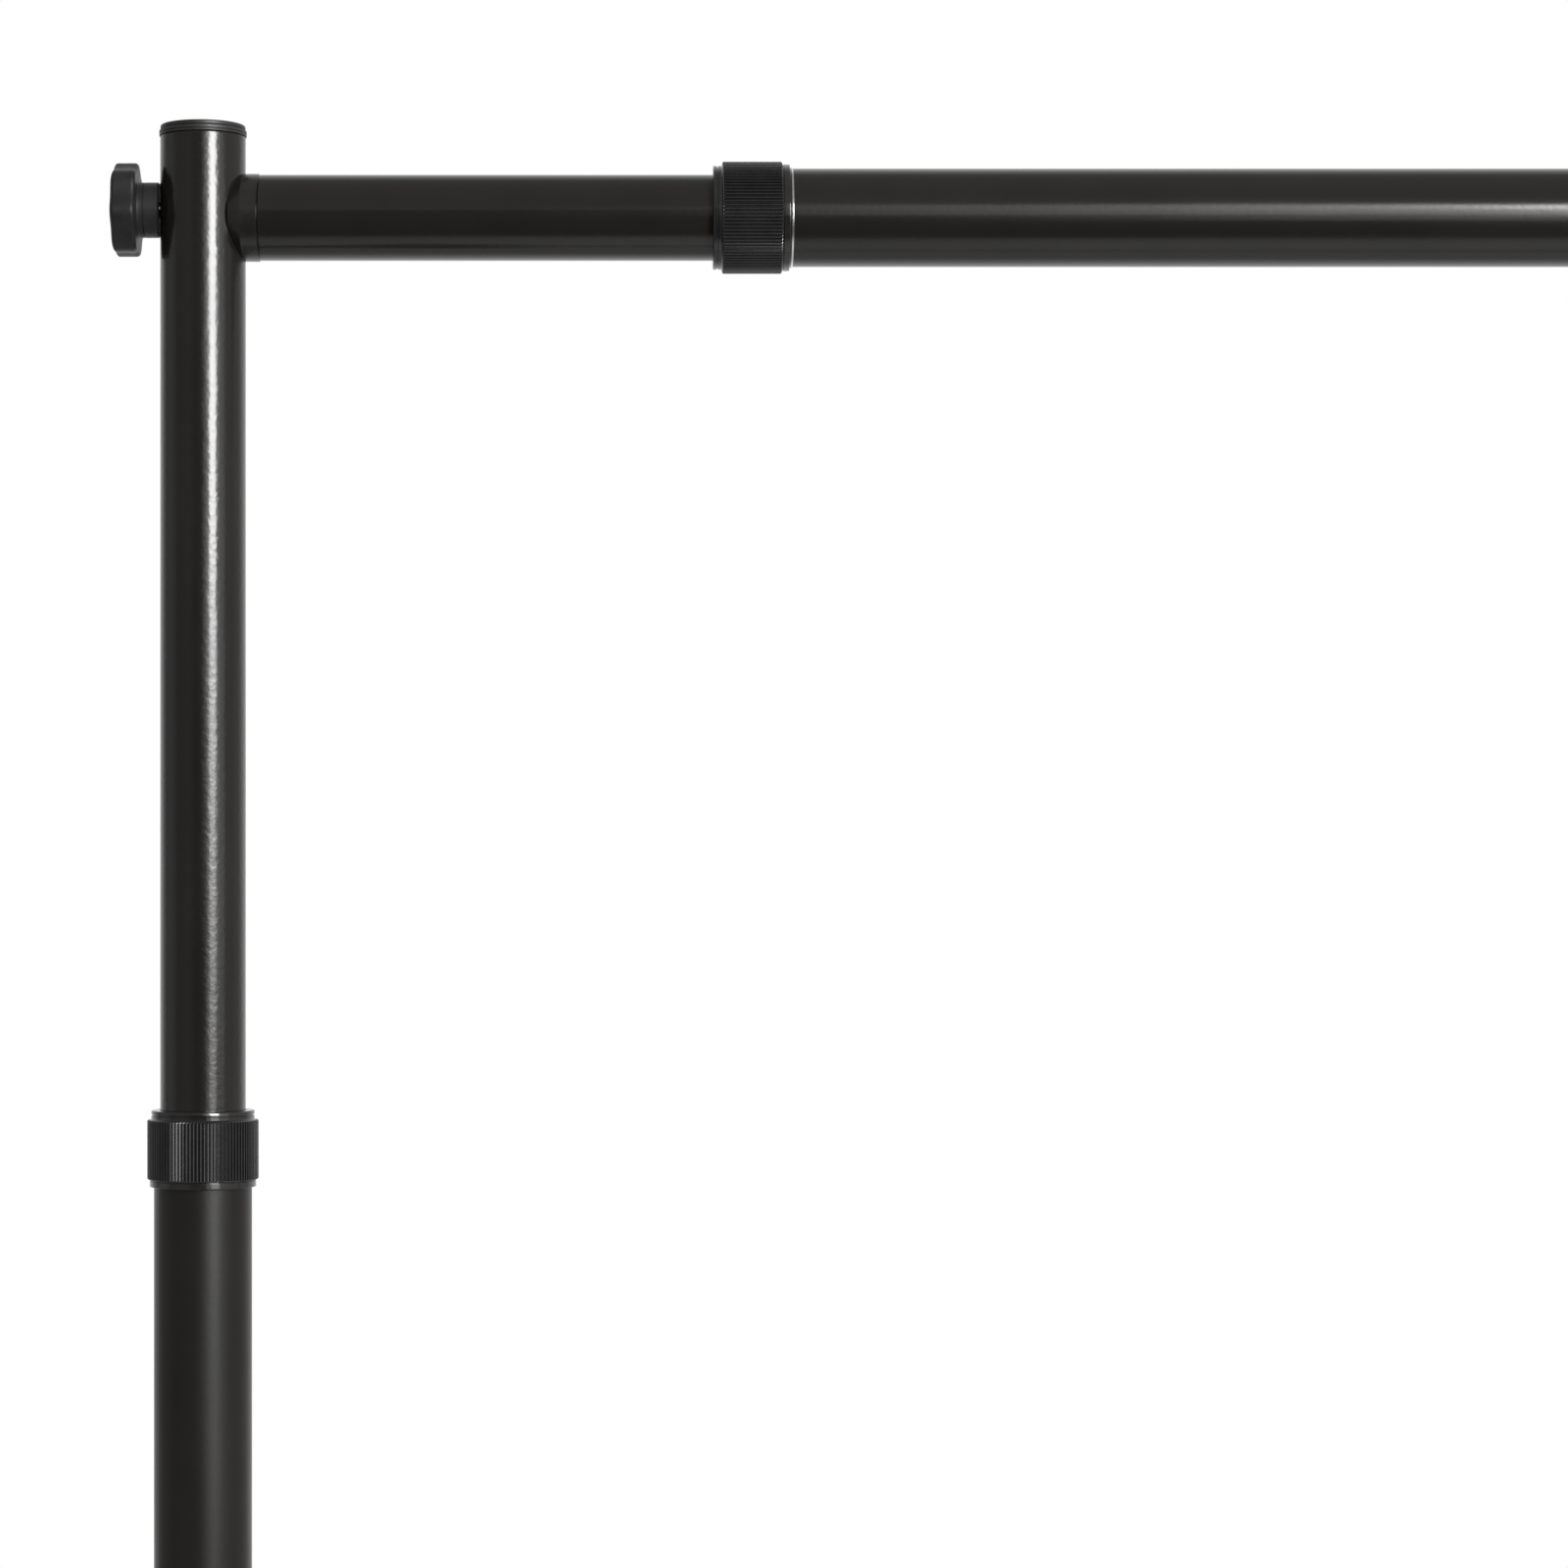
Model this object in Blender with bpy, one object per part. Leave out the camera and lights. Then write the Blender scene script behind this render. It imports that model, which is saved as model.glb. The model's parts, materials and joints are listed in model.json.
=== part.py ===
"""Telescopic banner frame: two uprights on flat steel feet, joined by a top and a bottom crossbar.

Units are metres. +X runs along the crossbars, +Y to the rear and +Z up.
The origin lies on the floor, midway between the two feet.
"""

import math

import bmesh
import bpy

# Tubes
INNER_TUBE_D = 0.028
TUBE_WALL = 0.0012
TELESCOPE_CLEARANCE = 0.0008
UPPER_TUBE_LENGTH = 1.200
LOWER_TUBE_LENGTH = 1.300
CENTRE_TUBE_LENGTH = 1.300
END_TUBE_LENGTH = 0.650

# How far the telescopes are drawn out, and where the crossbars sit
MAST_EXPOSED = 0.2926
BAR_EXPOSED = 0.1672
TUBE_ABOVE_BAR = 0.0264
BOTTOM_BAR_Z = 0.120

# Gap between pieces that touch, and between pieces that turn on each other
FIT_GAP = 0.0003

# Twist lock: ribbed nut over a slotted collet
NUT_LENGTH = 0.0198
NUT_OVER_TUBE = 0.0079
NUT_WALL = 0.0006
RIB_COUNT = 30
RIB_DEPTH = 0.0004
LIP_LENGTH = 0.0030
LIP_WALL = 0.0026
SOCKET_WALL = 0.00065
SHOULDER_LENGTH = 0.0018
FLANGE_LENGTH = 0.0020
FLANGE_STEP = 0.0003
FINGER_LENGTH = 0.0088
FINGER_TIP_WALL = 0.0011
SLIT_WIDTH = 0.0020

# Guide plug on the hidden end of an inner tube, and end cap on the upper tube
GUIDE_LENGTH = 0.010
PLUG_DEPTH = 0.014
CAP_HEIGHT = 0.0037
CAP_RIM_HEIGHT = 0.0020
CAP_OVERHANG = 0.0003
CAP_STEP = 0.0004
CAP_EDGE = 0.0010

# Saddle fitting on the end of a crossbar
SADDLE_RING = 0.0046
SADDLE_PROUD = 0.0006
SADDLE_STEM = 0.022
WING_REACH = 0.0049
NOSE_LENGTH = 0.0040
NOSE_DEPTH = 0.0027

# Star knob, its stud and the brass insert that the stud screws into
KNOB_RISE = 0.0025
KNOB_D = 0.0303
KNOB_THICKNESS = 0.0084
KNOB_LOBES = 5
LOBE_DEPTH = 0.0022
LOBE_TURN = math.radians(-32.5)
SCALLOP_SHARPNESS = 3
KNOB_FACE_INSET = 0.0060
KNOB_SHOULDER_INSET = 0.0018
KNOB_SHOULDER_DEPTH = 0.0006
KNOB_FACE_EDGE = 0.0021
KNOB_BACK_EDGE = 0.0012
NECK_D = 0.0180
NECK_LENGTH = 0.0078
STUD_D = 0.006
STUD_IN_KNOB = 0.0115
STUD_IN_INSERT = 0.010
BOLT_HOLE_CLEARANCE = 0.0005
INSERT_WALL = 0.0014
INSERT_LENGTH = 0.012
INSERT_SETBACK = 0.0012

# Foot
FOOT_LENGTH = 0.450
FOOT_WIDTH = 0.090
FOOT_THICKNESS = 0.006
FOOT_CORNER_R = 0.020
FOOT_EDGE = 0.001
PAD_LENGTH = 0.030
PAD_WIDTH = 0.060
PAD_THICKNESS = 0.003
PAD_INSET = 0.015
PAD_CORNER_R = 0.005
SPIGOT_HEIGHT = 0.080
SPIGOT_WALL = 0.0025
SPIGOT_BASE = 0.015
SCREW_D = 0.008
SCREW_HEAD_D = 0.016
SCREW_LENGTH = 0.018

# Facets
SIDES = 24
PLUG_SIDES = 16
SMALL_SIDES = 12
LOBE_POINTS = 6
CORNER_STEPS = 3
SHARP_ANGLE = math.radians(35)
MERGE_DISTANCE = 1e-6
EMPTY_SIZE = 0.03

# Sizes that follow from those above
INNER_R = INNER_TUBE_D / 2
OUTER_R = INNER_R + TELESCOPE_CLEARANCE + TUBE_WALL
INNER_BORE_R = INNER_R - TUBE_WALL
OUTER_BORE_R = OUTER_R - TUBE_WALL
FINGER_BORE_R = INNER_R + FIT_GAP
SOCKET_BORE_R = OUTER_R + FIT_GAP
SOCKET_R = SOCKET_BORE_R + SOCKET_WALL
NUT_BORE_R = SOCKET_R + FIT_GAP
RIB_ROOT_R = NUT_BORE_R + NUT_WALL
RIB_CREST_R = RIB_ROOT_R + RIB_DEPTH
PLUG_R = INNER_BORE_R - FIT_GAP
SHOULDER_END = FIT_GAP + SHOULDER_LENGTH
FINGER_END = SHOULDER_END + FINGER_LENGTH
NUT_END = NUT_LENGTH - NUT_OVER_TUBE
LOCK_END = NUT_END + LIP_LENGTH
STUD_R = STUD_D / 2
THREAD_BORE_R = STUD_R + FIT_GAP
BOLT_HOLE_R = STUD_R + BOLT_HOLE_CLEARANCE
INSERT_R = THREAD_BORE_R + INSERT_WALL
PLATE_Z = PAD_THICKNESS + FIT_GAP
MAST_Z = PLATE_Z + FOOT_THICKNESS + FIT_GAP
BAR_AXIS_Z = MAST_Z + LOWER_TUBE_LENGTH + LOCK_END + MAST_EXPOSED
HALF_SPAN = CENTRE_TUBE_LENGTH / 2 + LOCK_END + BAR_EXPOSED

# Colour, roughness and metallic value of each kind of piece
FINISHES = {
    "gloss_tube": ((0.022, 0.020, 0.019), 0.28, 0.2),
    "satin_tube": ((0.022, 0.020, 0.019), 0.45, 0.2),
    "collar_plastic": ((0.016, 0.016, 0.016), 0.42, 0.0),
    "collet_plastic": ((0.018, 0.018, 0.018), 0.50, 0.0),
    "guide_plastic": ((0.030, 0.030, 0.030), 0.55, 0.0),
    "cap_plastic": ((0.017, 0.017, 0.017), 0.40, 0.0),
    "saddle_plastic": ((0.024, 0.023, 0.022), 0.50, 0.0),
    "knob_plastic": ((0.017, 0.017, 0.017), 0.38, 0.0),
    "zinc_steel": ((0.55, 0.55, 0.53), 0.30, 1.0),
    "brass": ((0.72, 0.52, 0.22), 0.30, 1.0),
    "foot_paint": ((0.024, 0.023, 0.022), 0.50, 0.2),
    "rubber": ((0.020, 0.020, 0.020), 0.85, 0.0),
}

ALONG_BAR = (0, math.pi / 2, 0)


# Scene, materials and placing

def clear_scene():
    for thing in list(bpy.data.objects):
        bpy.data.objects.remove(thing, do_unlink=True)


def finish_material(finish):
    """The finish's Principled material, made on first use."""
    material = bpy.data.materials.get(finish)
    if material:
        return material
    colour, roughness, metallic = FINISHES[finish]
    material = bpy.data.materials.new(finish)
    material.use_nodes = True
    shader = material.node_tree.nodes["Principled BSDF"]
    shader.inputs["Base Color"].default_value = (*colour, 1)
    shader.inputs["Roughness"].default_value = roughness
    shader.inputs["Metallic"].default_value = metallic
    return material


def frame_at(name, location, rotation=(0, 0, 0)):
    """An empty that carries the pieces of one sub-assembly."""
    empty = bpy.data.objects.new(name, None)
    empty.location = location
    empty.rotation_euler = rotation
    empty.empty_display_size = EMPTY_SIZE
    bpy.context.collection.objects.link(empty)
    return empty


def place(name, mesh, parent, location=(0, 0, 0), rotation=(0, 0, 0)):
    thing = bpy.data.objects.new(name, mesh)
    thing.parent = parent
    thing.location = location
    thing.rotation_euler = rotation
    bpy.context.collection.objects.link(thing)
    return thing


def piece(name, mesh, finish, parent, location=(0, 0, 0), rotation=(0, 0, 0)):
    """A visible sub-part with its material, shaded smooth between its sharp edges."""
    mesh.materials.append(finish_material(finish))
    mesh.shade_smooth()
    mesh.set_sharp_from_angle(angle=SHARP_ANGLE)
    return place(name, mesh, parent, location, rotation)


def tool(name, mesh, parent, location=(0, 0, 0), rotation=(0, 0, 0)):
    """A hidden shape that a Boolean cuts away or joins on."""
    thing = place(name, mesh, parent, location, rotation)
    thing.hide_render = True
    thing.display_type = 'WIRE'
    return thing


def combine(target, shape, operation='DIFFERENCE'):
    boolean = target.modifiers.new(shape.name, 'BOOLEAN')
    boolean.operation = operation
    boolean.solver = 'EXACT'
    boolean.object = shape


# Meshes

def mesh_from(bm, name):
    bmesh.ops.remove_doubles(bm, verts=bm.verts, dist=MERGE_DISTANCE)
    bmesh.ops.recalc_face_normals(bm, faces=bm.faces)
    mesh = bpy.data.meshes.new(name)
    bm.to_mesh(mesh)
    bm.free()
    return mesh


def turned(name, profile, sides=SIDES):
    """A solid of revolution about local Z from (radius, height) points, closed on itself or on the axis."""
    bm = bmesh.new()
    verts = [bm.verts.new((radius, 0, height)) for radius, height in profile]
    pairs = list(zip(verts, verts[1:]))
    if profile[0][0] > 0:
        pairs.append((verts[-1], verts[0]))
    edges = [bm.edges.new(pair) for pair in pairs]
    bmesh.ops.spin(
        bm, geom=verts + edges, cent=(0, 0, 0), axis=(0, 0, 1), angle=2 * math.pi, steps=sides, use_merge=True
    )
    return mesh_from(bm, name)


def rod(name, radius, low, high, sides=SIDES):
    return turned(name, [(0, high), (radius, high), (radius, low), (0, low)], sides)


def ring(name, radius, bore, low, high, sides=SIDES):
    return turned(name, [(radius, high), (radius, low), (bore, low), (bore, high)], sides)


def lofted(name, outlines):
    """A closed solid through outlines that have equal counts of points, given as (points, height)."""
    bm = bmesh.new()
    loops = [[bm.verts.new((x, y, height)) for x, y in points] for points, height in outlines]
    for lower, upper in zip(loops, loops[1:]):
        for i in range(len(lower)):
            j = (i + 1) % len(lower)
            bm.faces.new((lower[i], lower[j], upper[j], upper[i]))
    bm.faces.new(loops[0])
    bm.faces.new(loops[-1])
    return mesh_from(bm, name)


def polar(count, radius_at):
    """Points round a circle whose radius varies with the angle."""
    angles = [2 * math.pi * i / count for i in range(count)]
    return [(radius_at(a) * math.cos(a), radius_at(a) * math.sin(a)) for a in angles]


def rounded_rectangle(width, length, corner):
    """Outline in X and Y with round corners."""
    points = []
    for quarter, (sx, sy) in enumerate(((1, 1), (-1, 1), (-1, -1), (1, -1))):
        for step in range(CORNER_STEPS + 1):
            angle = math.pi / 2 * (quarter + step / CORNER_STEPS)
            x = sx * (width / 2 - corner) + corner * math.cos(angle)
            y = sy * (length / 2 - corner) + corner * math.sin(angle)
            points.append((x, y))
    return points


# Twist lock, in a frame whose Z leaves the open end of the outer tube

def build_collet(name, frame):
    finger_tip_r = FINGER_BORE_R + FINGER_TIP_WALL
    flange_top = -NUT_OVER_TUBE - FIT_GAP
    flange_low = flange_top - FLANGE_LENGTH
    profile = [
        (finger_tip_r, FINGER_END),
        (SOCKET_R, SHOULDER_END),
        (SOCKET_R, flange_top),
        (SOCKET_R + FLANGE_STEP, flange_top),
        (SOCKET_R + FLANGE_STEP, flange_low),
        (SOCKET_BORE_R, flange_low),
        (SOCKET_BORE_R, FIT_GAP),
        (FINGER_BORE_R, FIT_GAP),
        (FINGER_BORE_R, FINGER_END),
    ]
    collet = piece(f"{name}_collet", turned(name, profile), "collet_plastic", frame)
    slit_low = SHOULDER_END + FIT_GAP
    slit_high = FINGER_END + FIT_GAP
    for turn in range(2):
        half_length = SOCKET_R + SLIT_WIDTH
        half_width = SLIT_WIDTH / 2
        outline = [
            (half_length, half_width),
            (-half_length, half_width),
            (-half_length, -half_width),
            (half_length, -half_width),
        ]
        slit = lofted(f"{name}_slit", [(outline, slit_low), (outline, slit_high)])
        combine(collet, tool(f"cut_{name}_slit_{turn}", slit, frame, rotation=(0, 0, turn * math.pi / 2)))


def build_nut(name, frame):
    def rib_radius(angle):
        return RIB_CREST_R if round(angle / math.pi * RIB_COUNT) % 2 == 0 else RIB_ROOT_R

    outline = polar(2 * RIB_COUNT, rib_radius)
    body = lofted(name, [(outline, -NUT_OVER_TUBE), (outline, NUT_END)])
    nut = piece(f"{name}_lock_nut", body, "collar_plastic", frame)

    lip_r = FINGER_BORE_R + LIP_WALL
    lip = rod(name, lip_r, NUT_END - LIP_LENGTH, LOCK_END)
    combine(nut, tool(f"join_{name}_lip", lip, frame), 'UNION')

    cone_tip_r = FINGER_BORE_R + FINGER_TIP_WALL + FIT_GAP
    bore = [
        (0, LOCK_END + LIP_LENGTH),
        (FINGER_BORE_R, LOCK_END + LIP_LENGTH),
        (FINGER_BORE_R, FINGER_END + FIT_GAP),
        (cone_tip_r, FINGER_END + FIT_GAP),
        (NUT_BORE_R, SHOULDER_END + FIT_GAP),
        (NUT_BORE_R, -NUT_OVER_TUBE - LIP_LENGTH),
        (0, -NUT_OVER_TUBE - LIP_LENGTH),
    ]
    combine(nut, tool(f"cut_{name}_bore", turned(name, bore), frame))


def build_guide_plug(name, parent, location, rotation):
    """Plug whose stem fills the inner tube's end, with Z pointing into the tube."""
    guide_r = OUTER_BORE_R - FIT_GAP
    profile = [
        (0, PLUG_DEPTH),
        (PLUG_R, PLUG_DEPTH),
        (PLUG_R, -FIT_GAP),
        (guide_r, -FIT_GAP),
        (guide_r, -GUIDE_LENGTH),
        (0, -GUIDE_LENGTH),
    ]
    plug = turned(name, profile, PLUG_SIDES)
    piece(f"{name}_guide_plug", plug, "guide_plastic", parent, location, rotation)


# Corner, in a frame on the upright's axis whose X runs along the crossbar

def build_saddle(name, frame, mast_r):
    seam = mast_r + SADDLE_RING
    tip = mast_r - WING_REACH
    saddle_r = INNER_R + SADDLE_PROUD
    profile = [
        (0, seam + SADDLE_STEM),
        (PLUG_R, seam + SADDLE_STEM),
        (PLUG_R, seam),
        (saddle_r, seam),
        (saddle_r, tip + NOSE_LENGTH),
        (saddle_r - NOSE_DEPTH, tip),
        (0, tip),
    ]
    saddle = piece(f"{name}_saddle", turned(name, profile), "saddle_plastic", frame, rotation=ALONG_BAR)
    reach = 2 * saddle_r
    seat = rod(name, mast_r + FIT_GAP, -reach, reach)
    combine(saddle, tool(f"cut_{name}_seat", seat, frame))
    pocket_end = mast_r + INSERT_SETBACK + INSERT_LENGTH + FIT_GAP
    pocket = rod(name, INSERT_R + FIT_GAP, 0, pocket_end, SMALL_SIDES)
    combine(saddle, tool(f"cut_{name}_pocket", pocket, frame, (0, 0, KNOB_RISE), ALONG_BAR))


def build_insert(name, frame, mast_r):
    low = mast_r + INSERT_SETBACK
    insert = ring(name, INSERT_R, THREAD_BORE_R, low, low + INSERT_LENGTH, SMALL_SIDES)
    piece(f"{name}_insert", insert, "brass", frame, (0, 0, KNOB_RISE), ALONG_BAR)


def build_knob(name, frame, mast_r):
    """Lobed head on a round neck, bearing on the upright's far side, and the stud moulded into it."""
    neck_end = -mast_r - FIT_GAP
    head_back = neck_end - NECK_LENGTH
    head_face = head_back - KNOB_THICKNESS
    knob_r = KNOB_D / 2

    def head_outline(inset):
        def radius_at(angle):
            hollow = (1 - math.cos(KNOB_LOBES * (angle - LOBE_TURN))) / 2
            return knob_r - LOBE_DEPTH * hollow**SCALLOP_SHARPNESS - inset

        return polar(KNOB_LOBES * LOBE_POINTS, radius_at)

    head = [
        (head_outline(KNOB_FACE_INSET), head_face),
        (head_outline(KNOB_SHOULDER_INSET), head_face + KNOB_SHOULDER_DEPTH),
        (head_outline(0), head_face + KNOB_FACE_EDGE),
        (head_outline(0), head_back - KNOB_BACK_EDGE),
        (head_outline(KNOB_BACK_EDGE), head_back),
    ]
    place_on_axis = {"location": (0, 0, KNOB_RISE), "rotation": ALONG_BAR}
    knob = piece(f"{name}_knob", lofted(name, head), "knob_plastic", frame, **place_on_axis)
    neck = rod(name, NECK_D / 2, head_back - KNOB_THICKNESS / 2, neck_end)
    combine(knob, tool(f"join_{name}_neck", neck, frame, **place_on_axis), 'UNION')
    stud_start = neck_end - STUD_IN_KNOB
    socket = rod(name, THREAD_BORE_R, stud_start - FIT_GAP, 0, SMALL_SIDES)
    combine(knob, tool(f"cut_{name}_stud_socket", socket, frame, **place_on_axis))

    stud_end = mast_r + INSERT_SETBACK + STUD_IN_INSERT
    stud = rod(name, STUD_R, stud_start, stud_end, SMALL_SIDES)
    piece(f"{name}_stud", stud, "zinc_steel", frame, **place_on_axis)


def build_corner(name, frame, mast_r, mast_tube):
    build_saddle(name, frame, mast_r)
    build_insert(name, frame, mast_r)
    build_knob(name, frame, mast_r)
    hole = rod(name, BOLT_HOLE_R, -2 * mast_r, 2 * mast_r, SMALL_SIDES)
    combine(mast_tube, tool(f"cut_{name}_bolt_hole", hole, frame, (0, 0, KNOB_RISE), ALONG_BAR))

    tube_start = mast_r + SADDLE_RING + FIT_GAP
    tube = ring(name, INNER_R, INNER_BORE_R, 0, END_TUBE_LENGTH)
    piece(f"{name}_end_tube", tube, "gloss_tube", frame, (tube_start, 0, 0), ALONG_BAR)
    into_tube = (0, -math.pi / 2, 0)
    build_guide_plug(name, frame, (tube_start + END_TUBE_LENGTH, 0, 0), into_tube)


# Upright with its foot, in a frame on the floor

def build_foot(side, frame):
    top = PLATE_Z + FOOT_THICKNESS
    full = rounded_rectangle(FOOT_WIDTH, FOOT_LENGTH, FOOT_CORNER_R)
    eased = rounded_rectangle(
        FOOT_WIDTH - 2 * FOOT_EDGE, FOOT_LENGTH - 2 * FOOT_EDGE, FOOT_CORNER_R - FOOT_EDGE
    )
    plate_mesh = lofted(side, [(full, PLATE_Z), (full, top - FOOT_EDGE), (eased, top)])
    plate = piece(f"{side}_foot_plate", plate_mesh, "foot_paint", frame)

    screw_r = SCREW_D / 2
    head_r = SCREW_HEAD_D / 2
    head_depth = head_r - screw_r
    head_low = PLATE_Z + FIT_GAP
    hole = [
        (0, top + FOOT_THICKNESS),
        (screw_r + FIT_GAP, top + FOOT_THICKNESS),
        (screw_r + FIT_GAP, head_low + head_depth),
        (head_r + FIT_GAP, head_low),
        (head_r + FIT_GAP, 0),
        (0, 0),
    ]
    combine(plate, tool(f"cut_{side}_screw_hole", turned(side, hole, SMALL_SIDES), frame))
    screw = [
        (0, head_low + SCREW_LENGTH),
        (screw_r, head_low + SCREW_LENGTH),
        (screw_r, head_low + head_depth),
        (head_r, head_low),
        (0, head_low),
    ]
    piece(f"{side}_foot_screw", turned(side, screw, SMALL_SIDES), "zinc_steel", frame)

    spigot_r = OUTER_BORE_R - FIT_GAP
    spigot = [
        (spigot_r, MAST_Z + SPIGOT_HEIGHT),
        (spigot_r, MAST_Z),
        (screw_r + FIT_GAP, MAST_Z),
        (screw_r + FIT_GAP, MAST_Z + SPIGOT_BASE),
        (spigot_r - SPIGOT_WALL, MAST_Z + SPIGOT_BASE),
        (spigot_r - SPIGOT_WALL, MAST_Z + SPIGOT_HEIGHT),
    ]
    piece(f"{side}_spigot", turned(side, spigot, PLUG_SIDES), "zinc_steel", frame)

    pad_y = FOOT_LENGTH / 2 - PAD_INSET - PAD_LENGTH / 2
    pad_outline = rounded_rectangle(PAD_WIDTH, PAD_LENGTH, PAD_CORNER_R)
    for end, y in (("front", -pad_y), ("rear", pad_y)):
        pad = lofted(side, [(pad_outline, 0), (pad_outline, PAD_THICKNESS)])
        piece(f"{side}_{end}_pad", pad, "rubber", frame, (0, y, 0))


def build_upright(side, x):
    """The telescoping upright. Its two tubes are returned for their bolt holes."""
    floor = frame_at(f"{side}_foot_frame", (x, 0, 0))
    build_foot(side, floor)
    lower_mesh = ring(side, OUTER_R, OUTER_BORE_R, 0, LOWER_TUBE_LENGTH)
    lower_tube = piece(f"{side}_lower_tube", lower_mesh, "satin_tube", floor, (0, 0, MAST_Z))
    lock = frame_at(f"{side}_mast_lock_frame", (x, 0, MAST_Z + LOWER_TUBE_LENGTH))
    build_collet(f"{side}_mast", lock)
    build_nut(f"{side}_mast", lock)

    tube_top = BAR_AXIS_Z + TUBE_ABOVE_BAR
    head = frame_at(f"{side}_mast_head_frame", (x, 0, tube_top))
    upper_mesh = ring(side, INNER_R, INNER_BORE_R, 0, UPPER_TUBE_LENGTH)
    tube_low = (0, 0, -UPPER_TUBE_LENGTH)
    upper_tube = piece(f"{side}_upper_tube", upper_mesh, "gloss_tube", head, tube_low)
    build_guide_plug(f"{side}_mast", head, tube_low, (0, 0, 0))
    cap_r = INNER_R + CAP_OVERHANG
    crown_r = cap_r - CAP_STEP
    cap = [
        (0, CAP_HEIGHT),
        (crown_r - CAP_EDGE, CAP_HEIGHT),
        (crown_r, CAP_HEIGHT - CAP_EDGE),
        (crown_r, CAP_RIM_HEIGHT),
        (cap_r, CAP_RIM_HEIGHT),
        (cap_r, FIT_GAP),
        (PLUG_R, FIT_GAP),
        (PLUG_R, -PLUG_DEPTH),
        (0, -PLUG_DEPTH),
    ]
    piece(f"{side}_cap", turned(side, cap), "cap_plastic", head)
    return lower_tube, upper_tube


# Crossbar, between two corners

def build_crossbar(level, z, mast_r, mast_tubes):
    bar = frame_at(f"{level}_bar_frame", (0, 0, z), ALONG_BAR)
    half = CENTRE_TUBE_LENGTH / 2
    centre = ring(level, OUTER_R, OUTER_BORE_R, -half, half)
    piece(f"{level}_centre_tube", centre, "satin_tube", bar)
    for side, sign in (("left", -1), ("right", 1)):
        name = f"{level}_{side}"
        lock = frame_at(f"{name}_lock_frame", (sign * half, 0, z), (0, sign * math.pi / 2, 0))
        build_collet(name, lock)
        build_nut(name, lock)
        towards_middle = (0, 0, math.pi if sign > 0 else 0)
        corner = frame_at(f"{name}_corner_frame", (sign * HALF_SPAN, 0, z), towards_middle)
        build_corner(name, corner, mast_r, mast_tubes[side])


def main():
    clear_scene()
    lower_tubes = {}
    upper_tubes = {}
    for side, sign in (("left", -1), ("right", 1)):
        lower_tubes[side], upper_tubes[side] = build_upright(side, sign * HALF_SPAN)
    build_crossbar("top", BAR_AXIS_Z, INNER_R, upper_tubes)
    build_crossbar("bottom", BOTTOM_BAR_Z, OUTER_R, lower_tubes)


main()
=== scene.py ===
"""Looks of the telescopic banner stand: fine forms, finishes, light and the photograph's camera.

Units are metres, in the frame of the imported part: +X along the crossbars, +Y to the rear, +Z up.
"""

import json
import math

import bmesh
import bpy
from mathutils import Matrix, Vector


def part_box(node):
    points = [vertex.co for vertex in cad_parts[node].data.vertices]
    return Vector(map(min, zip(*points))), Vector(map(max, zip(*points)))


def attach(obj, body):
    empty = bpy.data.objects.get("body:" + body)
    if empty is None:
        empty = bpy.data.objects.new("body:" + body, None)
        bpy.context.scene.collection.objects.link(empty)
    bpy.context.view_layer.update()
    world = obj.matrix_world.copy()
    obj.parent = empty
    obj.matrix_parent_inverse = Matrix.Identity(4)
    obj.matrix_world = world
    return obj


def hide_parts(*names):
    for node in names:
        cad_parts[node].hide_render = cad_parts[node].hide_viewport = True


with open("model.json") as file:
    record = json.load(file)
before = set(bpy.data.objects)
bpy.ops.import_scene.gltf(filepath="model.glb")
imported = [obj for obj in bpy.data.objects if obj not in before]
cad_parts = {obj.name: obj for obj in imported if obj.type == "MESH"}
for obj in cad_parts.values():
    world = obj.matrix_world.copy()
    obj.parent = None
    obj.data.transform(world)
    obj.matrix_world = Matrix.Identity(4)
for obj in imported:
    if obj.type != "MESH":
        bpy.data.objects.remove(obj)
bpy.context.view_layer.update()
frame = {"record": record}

# Photograph, in pixels of its 1600 x 1600 frame
IMAGE_SIZE = 1600
FOCAL_LENGTH_PX = 4350
PRINCIPAL_PX = (650, 880)
UPRIGHT_AXIS_PX = 207.2
BAR_AXIS_PX = 222.4
PX_PER_METRE = 3110

# Smoothness
TUBE_SIDES = 128
TURNED_SIDES = 96
FILLET_STEPS = 4
DRILL_SIDES = 32
SHARP_ANGLE = math.radians(32)

# Tubes
TUBE_WALL = 0.0012
TUBE_EDGE = 0.0003
BOLT_HOLE_R = 0.0035
BOLT_HOLE_BAND = 0.006

# Twist lock, along the way out of the outer tube
SEAT_GAP = 0.00015
LIP_LENGTH = 0.0030
LIP_R = 0.0169
LIP_GROOVE = 0.0003
RIB_COUNT = 94
RIB_DEPTH = 0.00059
NUT_CHAMFER = 0.0005
NUT_BORE_R = 0.01725
CONE_START = 0.0024
CONE_MARGIN = 0.0008
CONE_STEP = 0.0012
FLANGE_LENGTH = 0.0020
FLANGE_PROUD = 0.0003
COLLET_SHOULDER = 0.0021
FINGER_TIP_WALL = 0.0011
SLIT_HALF_WIDTH = 0.001
BRIGHT_RING_R = 0.01635
BRIGHT_RING_LENGTH = 0.00062
BRIGHT_RING_GAP = 0.00045

# Guide plug
PLUG_RIM_LENGTH = 0.010
PLUG_GROOVE = 0.0006
END_DISC_R = 0.002

# Cap
CAP_DISC_R = 0.004
CAP_STEP = 0.0004
CAP_RIM_HEIGHT = 0.0020
CAP_EDGE = 0.0010
CAP_GROOVE = 0.0002
CAP_UPPER_GROOVE_AT = 0.00035

# Saddle
SADDLE_RING = 0.0046
SADDLE_R = 0.0143
SADDLE_EDGE = 0.0003
WING_REACH = 0.0049
NOSE_LENGTH = 0.0040
NOSE_DEPTH = 0.0024
POCKET_R = 0.0049
POCKET_DEPTH = 0.0095

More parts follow.
